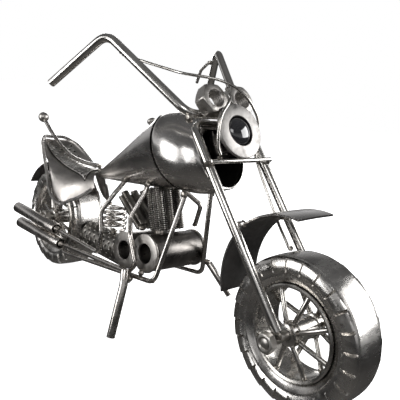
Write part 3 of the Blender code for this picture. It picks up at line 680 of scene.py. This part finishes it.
def engine():
    for end, (centre, half) in CRANK.items():
        case = turned(centre, Y_AXIS, washer_profile(-half, half, CRANK_TUBE_BORE_R, CRANK_TUBE_R), 96, True)
        piece(f"crankcase_{end}_tube", case, "frame", "dark_sheet", [f"crankcase_tube_{end}"])
        for side, sign in SIDES.items():
            section = washer_profile(0, ENGINE_WASHER_THICK, ENGINE_WASHER_BORE_R, ENGINE_WASHER_R)
            ring = turned(centre + Y_AXIS * sign * (half + GAP), Y_AXIS * sign, section, 96, True)
            name = f"crankcase_washer_{end}_{side}"
            piece(f"{name}_ring", ring, "frame", "hardware", [name])

    def around(a, b):
        turn = 2 * math.pi * a
        y, z = GEARBOX_R * math.cos(turn), GEARBOX_Z + GEARBOX_R * math.sin(turn)
        return Vector((GEARBOX_REAR_X + GEARBOX_LENGTH * b, y, z))

    box = perforated(around, 22, 16, 0.3, True)
    look = LOOKS["studs"]
    gear = piece("gearbox_punched", box, "frame", "dark_sheet", ["gearbox_tube"], look=look, smooth_deg=60.0)
    thicken(gear, 1.1)
    # Painted shade: a near-black cylinder inside the punched tube makes its holes dark, as the shadow inside would.
    core_profile = [(0, 8.0), (0.2, 8.9), (46.4, 8.9), (46.6, 8.0)]
    core = turned(Vector((41.2, 0, GEARBOX_Z)), Vector((1, 0, 0)), core_profile, 64, False)
    piece("gearbox_inside_shade", core, "frame", "dark_sheet", look=SHADE_BLACK)

    helix, steps = [], 40
    for i in range(COIL_TURNS * steps + 1):
        turn = 2 * math.pi * i / steps
        step = Vector((COIL_R * math.cos(turn), COIL_R * math.sin(turn), COIL_RISE / steps * i))
        helix.append(COIL_FOOT + step)
    rod("engine_coil", helix, COIL_WIRE_R, "frame", "frame_rod", 14)

    banks = (
        ("front", CRANK["front"][0] + Vector((-4.05, 0, 11.15)), math.radians(20), 26.8, (-4.1, 0.0, 4.1)),
        ("rear", Vector((106.9, 0, 57.6)), math.radians(55), 28.5, (-2.05, 2.05)),
    )
    for bank, base, lean, length, offsets in banks:
        up = Vector((-math.sin(lean), 0, math.cos(lean)))
        along = Vector((math.cos(lean), 0, math.sin(lean)))
        for side, y in (("right", -STUD_ROW_Y), ("middle", 0.0), ("left", STUD_ROW_Y)):
            feet = [base + along * offset + Y_AXIS * y + up * 0.6 for offset in offsets]
            bars = joined([stud(foot, up, length) for foot in feet])
            name = f"cylinder_studs_{bank}_{side}"
            piece(f"{name}_threaded", bars, "frame", "studs", [name], smooth_deg=50.0)


def exhaust():
    y = EXHAUST_Y
    for name, rear, front in (("upper", (-31.6, 38.6), (31.3, 37.4)), ("lower", (-24.6, 28.0), (39.2, 28.6))):
        start, end = Vector((rear[0], y, rear[1])), Vector((front[0], y, front[1]))
        length = (end - start).length
        pipe = turned(start, end - start, washer_profile(0, length, MUFFLER_BORE_R, MUFFLER_R, 0.35), 64, True)
        piece(f"muffler_{name}_pipe", pipe, "frame", "frame_rod", [f"muffler_{name}"])
        # Painted shade: a near-black core inside each muffler pipe stands for the shadow in its bore.
        core = [(2.0, 0.4), (2.2, 3.15), (length - 4, 3.15), (length - 3.8, 0.4)]
        dark = turned(start, end - start, core, 32, False)
        piece(f"muffler_{name}_inside", dark, "frame", "frame_rod", look=SHADE_BLACK)
    upper = [
        (86.0, -9.2, 84.4), (86.2, -12.4, 80.6), (87.6, -18.0, 76.0), (84.6, y, 63.6),
        (87.4, y, 51.0), (86.6, y, 36.4), (28.0, y, 37.4),
    ]
    lower = [
        (112.0, -11.5, 87.0), (112.6, -13.6, 81.4), (110.8, -21.2, 66.0), (117.4, y, 57.0),
        (125.6, y, 41.5), (119.5, y, 34.6), (36.0, y, 28.6),
    ]
    far = [(117.6, 12.2, 88.2), (118.0, 13.4, 84.0), (128.0, 21.0, 76.0), (124.5, 21.5, 62.0)]
    rod("header_pipe_rear", rounded(upper, 4.5), FRAME_ROD_R, "frame", "frame_rod")
    rod("header_pipe_front", rounded(lower, 4.5), FRAME_ROD_R, "frame", "frame_rod")
    rod("header_pipe_left", rounded(far, 4.0), FRAME_ROD_R, "frame", "frame_rod")


def frame_rods():
    for side, sign in SIDES.items():
        route = [(5.4, 15.6, 34.4), (36.0, 19.5, 20.5), (138.0, 20.0, 33.5), (145.0, 10.5, 88.0)]
        path = rounded([Vector((x, y * sign, z)) for x, y, z in route], 7.0)
        rod(f"frame_rail_{side}", path, FRAME_ROD_R, "frame", "frame_rod")
    pin = [(0, 1.5), (0.3, 1.8), (6.3, 1.8), (6.6, 1.5)]
    boss = turned(Vector((119.6, -22.0, 30.4)), -Y_AXIS, pin, 32, False)
    piece("stand_boss_pin", boss, "frame", "frame_rod", ["stand_boss"])
    leg = [(124.5, -31.6, 39.0), (126.5, -33.0, 30.0), (130.9, -41.6, 0.75)]
    rod("stand_leg", rounded(leg, 8.0), HEAVY_ROD_R, "frame", "frame_rod", 28)
    peg = [(140.6, 22.4, 41.0), (156.0, 29.0, 23.5)]
    rod("foot_peg_left", peg, HEAVY_ROD_R - 0.4, "frame", "frame_rod", 24)

    low = NECK - NECK_AXIS * 2.0
    head = turned(low, NECK_AXIS, washer_profile(0, 11.0, 3.6, 5.6), 64, True)
    foot = NECK + NECK_AXIS * 3.0 - FORK_FRONT * 4.8
    reach = Vector((139.0, 0, 101.0)) - foot
    arm = turned(foot, reach, [(0, HEAVY_ROD_R), (reach.length, HEAVY_ROD_R)], 32, False)
    piece("head_tube_and_arm", joined([head, arm]), "frame", "dark_sheet", ["head_tube"])


# ---------------------------------------------------------------- fork and controls


def fork():
    stem_profile = [(0, 2.6), (0.4, 3.0), (15.6, 3.0), (16.0, 2.6)]
    stem = turned(NECK - NECK_AXIS * 2.4, NECK_AXIS, stem_profile, 40, False)
    foot = NECK + NECK_AXIS * 11.8
    top_bar = Vector((LEG_TOP.x, 0, LEG_TOP.z))
    link = top_bar - foot
    arm = turned(foot, link, [(0, 2.0), (link.length - HEAVY_ROD_R - GAP, 2.0)], 28, False)
    piece("stem_and_arm", joined([stem, arm]), "fork", "dark_sheet", ["steering_stem"])

    flip = Vector((1, -1, 1))
    legs = rounded([LEG_FOOT * flip, LEG_TOP * flip, LEG_TOP, LEG_FOOT], 7.5, 10)
    rod("fork_legs", legs, HEAVY_ROD_R, "fork", "fork_rod", 28)
    rod("fork_brace", [BRACE_AT - Y_AXIS * 22.6, BRACE_AT + Y_AXIS * 22.6], BRACE_ROD_R, "fork", "fork_rod")

    section = washer_profile(-LAMP_WASHER_THICK, 0, LAMP_WASHER_BORE_R, LAMP_WASHER_R, 0.7)
    ring = turned(LAMP_CENTRE, LAMP_LOOK, section, 112, True)
    piece("headlight_ring", ring, "fork", "hardware", ["headlight_washer"], look=RING)
    cup_profile = [
        (-7.0, 4.4), (-7.0, 6.0), (-6.2, 7.6), (-5.0, 9.0), (-3.6, 10.3), (-2.2, 11.2), (-1.0, 11.6),
        (0, 11.8), (0, 10.6), (-1.2, 10.4), (-2.4, 9.9), (-3.8, 8.9), (-5.0, 7.6),
    ]
    cup = turned(LAMP_CENTRE - LAMP_LOOK * (LAMP_WASHER_THICK + GAP), LAMP_LOOK, cup_profile, 72, True)
    piece("headlight_shell", cup, "fork", "dark_sheet", ["headlight_cup"])
    dome = [(-2.0, 7.4), (0.0, LENS_R)]
    for t in (0.1, 0.2, 0.3, 0.45, 0.6, 0.75, 0.88, 0.96):
        dome.append((LENS_RISE * math.sin(t * math.pi / 2), LENS_R * math.cos(t * math.pi / 2)))
    glass = turned(LAMP_CENTRE - LAMP_LOOK * LAMP_WASHER_THICK, LAMP_LOOK, dome, 72, False)
    piece("headlight_dome", glass, "fork", "lens", ["headlight_lens"], smooth_deg=60.0)

    for side, sign in SIDES.items():
        nut = hex_nut(NUT_CENTRE * Vector((1, sign, 1)), NUT_LOOK, 4.0, 8.0, 4.5, 1.5)
        piece(f"gauge_nut_{side}_threaded", nut, "fork", "hardware", [f"gauge_nut_{side}"])

    route = [*(p * flip for p in reversed(HANDLEBAR)), *HANDLEBAR]
    rod("handlebar", rounded(route, 9.0, 12), HEAVY_ROD_R, "fork", "fork_rod", 28)
    bends = ((13, 4.2), (24, 9), (38, 10.5))
    lever = [HANDLEBAR[1] + GRIP_ALONG * out + LEVER_HANG * drop for out, drop in bends]
    for side, sign in SIDES.items():
        mirror = Vector((1, sign, 1))
        rod(f"lever_{side}", rounded([p * mirror for p in lever], 6.0), CABLE_R + 0.3, "fork", "fork_rod", 16)

    brake = [
        (98.0, -30.0, 163.0), (124.2, -20.0, 157.7), (139.0, -16.5, 155.3), (151.3, -8.0, 154.2),
        (157.0, -2.0, 152.8), (161.2, 4.0, 150.0), (164.6, 9.0, 145.4), (166.2, 13.6, 140.0),
        (167.4, 17.2, 133.0), (168.6, 17.0, 122.0),
        (171.2, 14.7, 113.4), (189.7, 14.7, 85.8), (202.6, 14.7, 69.8),
    ]
    clutch = [
        (158.2, -0.4, 149.6), (164.2, -3.5, 146.0), (170.4, -9.5, 142.6), (172.8, -15.8, 136.2),
        (174.2, -18.3, 128.4), (174.8, -18.0, 120.4), (175.6, -16.4, 115.9),
    ]
    rod("brake_cable", smooth_path(brake), CABLE_R, "fork", "cable", 14)
    rod("clutch_cable", smooth_path(clutch), CABLE_R, "fork", "cable", 14)


def arc_grid(centre, radius, start_deg, end_deg, half_width, steps, across=8):
    """A strip bent round an arc, a little lower at its two sides than along its middle."""
    grid = []
    for i in range(steps + 1):
        turn = math.radians(start_deg + (end_deg - start_deg) * i / steps)
        out = Vector((math.cos(turn), 0, math.sin(turn)))
        row = []
        for k in range(-across, across + 1):
            t = k / across
            row.append(centre + out * (radius - FENDER_CROWN * t * t) + Y_AXIS * half_width * t)
        grid.append(row)
    return grid


def fenders():
    front = double_sheet(arc_grid(FENDER_CENTRE, FENDER_R, 83.0, 196.0, FENDER_HALF_W, 72), FENDER_THICK)
    made = piece("front_fender_sheet", front, "fork", "sheet", ["front_fender"], smooth_deg=50.0)
    # The inner faces of both fenders get the near-black painted shade.
    shade_inner_face(made, FENDER_CENTRE, FENDER_R, TURN.inverted())
    over = CENTRE["rear"]
    rear = double_sheet(arc_grid(over, REAR_FENDER_R, 97.0, 150.0, REAR_FENDER_HALF_W, 40), FENDER_THICK)
    made = piece("rear_fender_sheet", rear, "frame", "dark_sheet", ["rear_fender"], smooth_deg=50.0)
    shade_inner_face(made, over, REAR_FENDER_R, Matrix.Identity(4))
    for side, sign, at in (("right", -1, (193.8, 0, 84.4)), ("left", 1, (195.7, 0, 85.6))):
        ends = [Vector(at) + Y_AXIS * sign * y for y in (FENDER_HALF_W + 0.4, LEG_Y - HEAVY_ROD_R - 0.4)]
        rod(f"fender_bracket_{side}", ends, FRAME_ROD_R, "fork", "fork_rod", 20)


def shade_inner_face(obj, centre, radius, back):
    """The inner face of a fender gets the near-black painted shade, standing in for the shadow under it. back undoes
    the turn of the fork.
    """
    obj.data.materials.append(SHADE_BLACK)
    for face in obj.data.polygons:
        at = back @ (face.center / MM)
        out = at - centre
        normal = back.to_3x3() @ face.normal
        if Vector((out.x, 0, out.z)).dot(normal) < -0.5 * radius:
            face.material_index = 1


def welds():
    """Beads of weld at the joints, as (place, radius)."""
    on_frame = [
        ((5.0, -15.4, 34.6), 2.4), ((5.0, 15.4, 34.6), 2.4), ((144.6, -11.2, 87.6), 2.2),
        ((144.6, 11.2, 87.6), 2.2), ((137.0, -20.0, 34.4), 1.9), ((126.0, -20.4, 35.6), 2.0),
        ((102.8, -18.2, 30.4), 1.9), ((86.1, -9.8, 84.2), 2.3), ((112.1, -11.9, 87.0), 2.3),
        ((31.6, -25.0, 37.4), 2.6), ((39.4, -25.0, 28.7), 2.6), ((120.6, -25.6, 30.6), 3.0),
        ((123.2, -30.2, 33.6), 3.0), ((42.6, 0, 82.4), 2.3), ((40.5, 0, 85.4), 2.0),
        ((-45.2, 0, 109.0), 1.9), ((97.4, 0, 119.8), 2.6), ((71.5, -4.0, 45.6), 2.2),
        ((64.0, -4.0, 63.2), 1.7), ((139.4, 0, 101.4), 3.0), ((89.0, 0, 38.0), 3.6),
        ((114.8, 0, 45.4), 3.2), ((-9.0, 0, 83.0), 2.0), ((140.2, 21.4, 41.4), 2.2),
        ((117.7, 12.4, 87.8), 2.0), ((124.5, 21.3, 62.4), 1.7), ((114.0, -7.6, 83.0), 2.4),
        ((114.0, 7.6, 83.0), 2.4), ((106.6, -7.6, 57.8), 2.6), ((122.6, -7.6, 59.2), 2.8),
    ]
    on_fork = [
        ((172.8, -21.2, 111.0), 2.7), ((172.8, 21.2, 111.0), 2.7), ((152.6, -20.4, 132.2), 2.6),
        ((152.6, 20.4, 132.2), 2.6), ((174.0, 0.0, 113.9), 2.2), ((161.0, -8.6, 138.6), 2.0),
        ((161.0, 8.6, 138.6), 2.0), ((152.6, -9.8, 137.2), 2.2), ((152.6, 9.8, 137.2), 2.2),
        ((193.8, -13.6, 84.4), 1.9), ((193.8, -18.0, 84.4), 1.9), ((195.7, 13.6, 85.6), 1.9),
        ((195.7, 18.0, 85.6), 1.9), ((229.6, -20.6, 41.4), 2.3), ((229.6, 20.6, 41.4), 2.3),
        ((202.8, 15.6, 69.8), 1.4), ((158.2, -0.4, 149.2), 1.2), ((175.4, -16.8, 114.6), 1.3),
        ((156.2, 0.0, 127.2), 2.2), ((98.4, -31.4, 164.4), 1.2),
    ]
    root = HANDLEBAR[1] + GRIP_ALONG * 13 + LEVER_HANG * 3.2
    on_fork += [(tuple(root), 1.6), ((root.x, -root.y, root.z), 1.6)]
    for name, body, spots in (("frame_welds", "frame", on_frame), ("fork_welds", "fork", on_fork)):
        drops = [bead(Vector(at), radius, 0.78, k) for k, (at, radius) in enumerate(spots)]
        piece(name, joined(drops), body, "frame_rod" if body == "frame" else "fork_rod", look=WELD)


for end in ("rear", "front"):
    tyre(end)
    wheel(end)
axle("rear", "frame", 19.0, 15.4)
axle("front", "fork", 27.5, 23.6)
tank()
seat()
engine()
exhaust()
frame_rods()
fork()
fenders()
welds()


# ---------------------------------------------------------------- camera, light and floor


# Metres from here on
LIT_POINT = Vector((0.12, 0.0, 0.08))
CAMERA_AT = Vector((0.347407, -0.205491, 0.138559))
CAMERA_LENS, SENSOR_WIDTH = 45.03, 36.0
FLOOR_HALF_SIZE, FLOOR_DROP = 20.0, 0.0002


def area_light(name, at, size, watts):
    data = bpy.data.lights.new(name, "AREA")
    data.shape = "RECTANGLE"
    data.size, data.size_y = size
    data.energy = watts
    lamp = bpy.data.objects.new(name, data)
    lamp.location = at
    lamp.rotation_euler = (LIT_POINT - Vector(at)).to_track_quat("-Z", "Y").to_euler()
    bpy.context.scene.collection.objects.link(lamp)
    return lamp


def camera():
    """The camera looks from the front right, a little above the tank."""
    data = bpy.data.cameras.new("camera")
    data.lens, data.sensor_width = CAMERA_LENS, SENSOR_WIDTH
    data.clip_start, data.clip_end = 0.01, 100.0
    right = Vector((0.69181, 0.70973, 0.13296)).normalized()
    back = Vector((0.68629, -0.70353, 0.18453)).normalized()
    up = back.cross(right).normalized()
    right = up.cross(back)
    made = bpy.data.objects.new("camera", data)
    made.matrix_world = Matrix.Translation(CAMERA_AT) @ Matrix((right, up, back)).transposed().to_4x4()
    bpy.context.scene.collection.objects.link(made)
    bpy.context.scene.camera = made


def studio():
    """A plain pale backdrop and floor, a darker room for the steel to mirror, and five softboxes."""
    world = bpy.data.worlds.new("studio")
    world.use_nodes = True
    tree = world.node_tree
    tree.nodes.clear()
    where = node(tree, "ShaderNodeTexCoord")
    split = node(tree, "ShaderNodeSeparateXYZ")
    ramp = node(tree, "ShaderNodeValToRGB")
    tree.links.new(where.outputs["Generated"], split.inputs["Vector"])
    height = node(tree, "ShaderNodeMapRange")
    height.inputs["From Min"].default_value = -1.0
    tree.links.new(split.outputs["Z"], height.inputs["Value"])
    tree.links.new(height.outputs["Result"], ramp.inputs["Fac"])
    stops = ramp.color_ramp.elements
    stops[0].position, stops[0].color = 0.0, (0.12, 0.115, 0.11, 1)
    stops[1].position, stops[1].color = 1.0, (0.14, 0.14, 0.142, 1)
    for at, level in ((0.38, 0.02), (0.505, 0.04), (0.56, 0.62), (0.63, 0.40), (0.71, 0.07)):
        stops.new(at).color = (level, level, level * 1.01, 1)
    plain = node(tree, "ShaderNodeBackground", Strength=1.0)
    plain.inputs["Color"].default_value = (1.0, 1.0, 1.0, 1)
    lit = node(tree, "ShaderNodeBackground", Strength=1.0)
    tree.links.new(ramp.outputs["Color"], lit.inputs["Color"])
    seen = node(tree, "ShaderNodeLightPath")
    mix = node(tree, "ShaderNodeMixShader")
    tree.links.new(seen.outputs["Is Camera Ray"], mix.inputs["Fac"])
    tree.links.new(lit.outputs["Background"], mix.inputs[1])
    tree.links.new(plain.outputs["Background"], mix.inputs[2])
    out = node(tree, "ShaderNodeOutputWorld")
    tree.links.new(mix.outputs["Shader"], out.inputs["Surface"])
    bpy.context.scene.world = world

    area_light("softbox_side", (-0.30, -0.93, 0.20), (0.40, 0.70), 5.2)
    area_light("softbox_camera", (0.86, -0.80, 0.72), (0.62, 0.42), 3.2)
    area_light("softbox_front", (0.80, 0.86, 0.50), (0.95, 0.60), 11.0)
    area_light("softbox_back", (-0.85, 0.62, 0.40), (0.30, 0.45), 2.4)
    area_light("softbox_top", (0.10, 0.15, 1.20), (1.0, 0.8), 7.0).visible_glossy = False

    bm = bmesh.new()
    bmesh.ops.create_grid(bm, x_segments=1, y_segments=1, size=FLOOR_HALF_SIZE)
    mesh = bpy.data.meshes.new("floor")
    bm.to_mesh(mesh)
    bm.free()
    floor = bpy.data.objects.new("floor", mesh)
    bpy.context.scene.collection.objects.link(floor)
    floor.location.z = -FLOOR_DROP
    pale = bpy.data.materials.new("pale_floor")
    pale.use_nodes = True
    shader = pale.node_tree.nodes["Principled BSDF"]
    shader.inputs["Base Color"].default_value = (0.86, 0.86, 0.86, 1)
    shader.inputs["Roughness"].default_value = 0.9
    shader.inputs["Emission Color"].default_value = (1, 1, 1, 1)
    shader.inputs["Emission Strength"].default_value = 0.92
    mesh.materials.append(pale)
    floor.visible_glossy = False
    bpy.context.scene.view_settings.view_transform = "Standard"


camera()
studio()
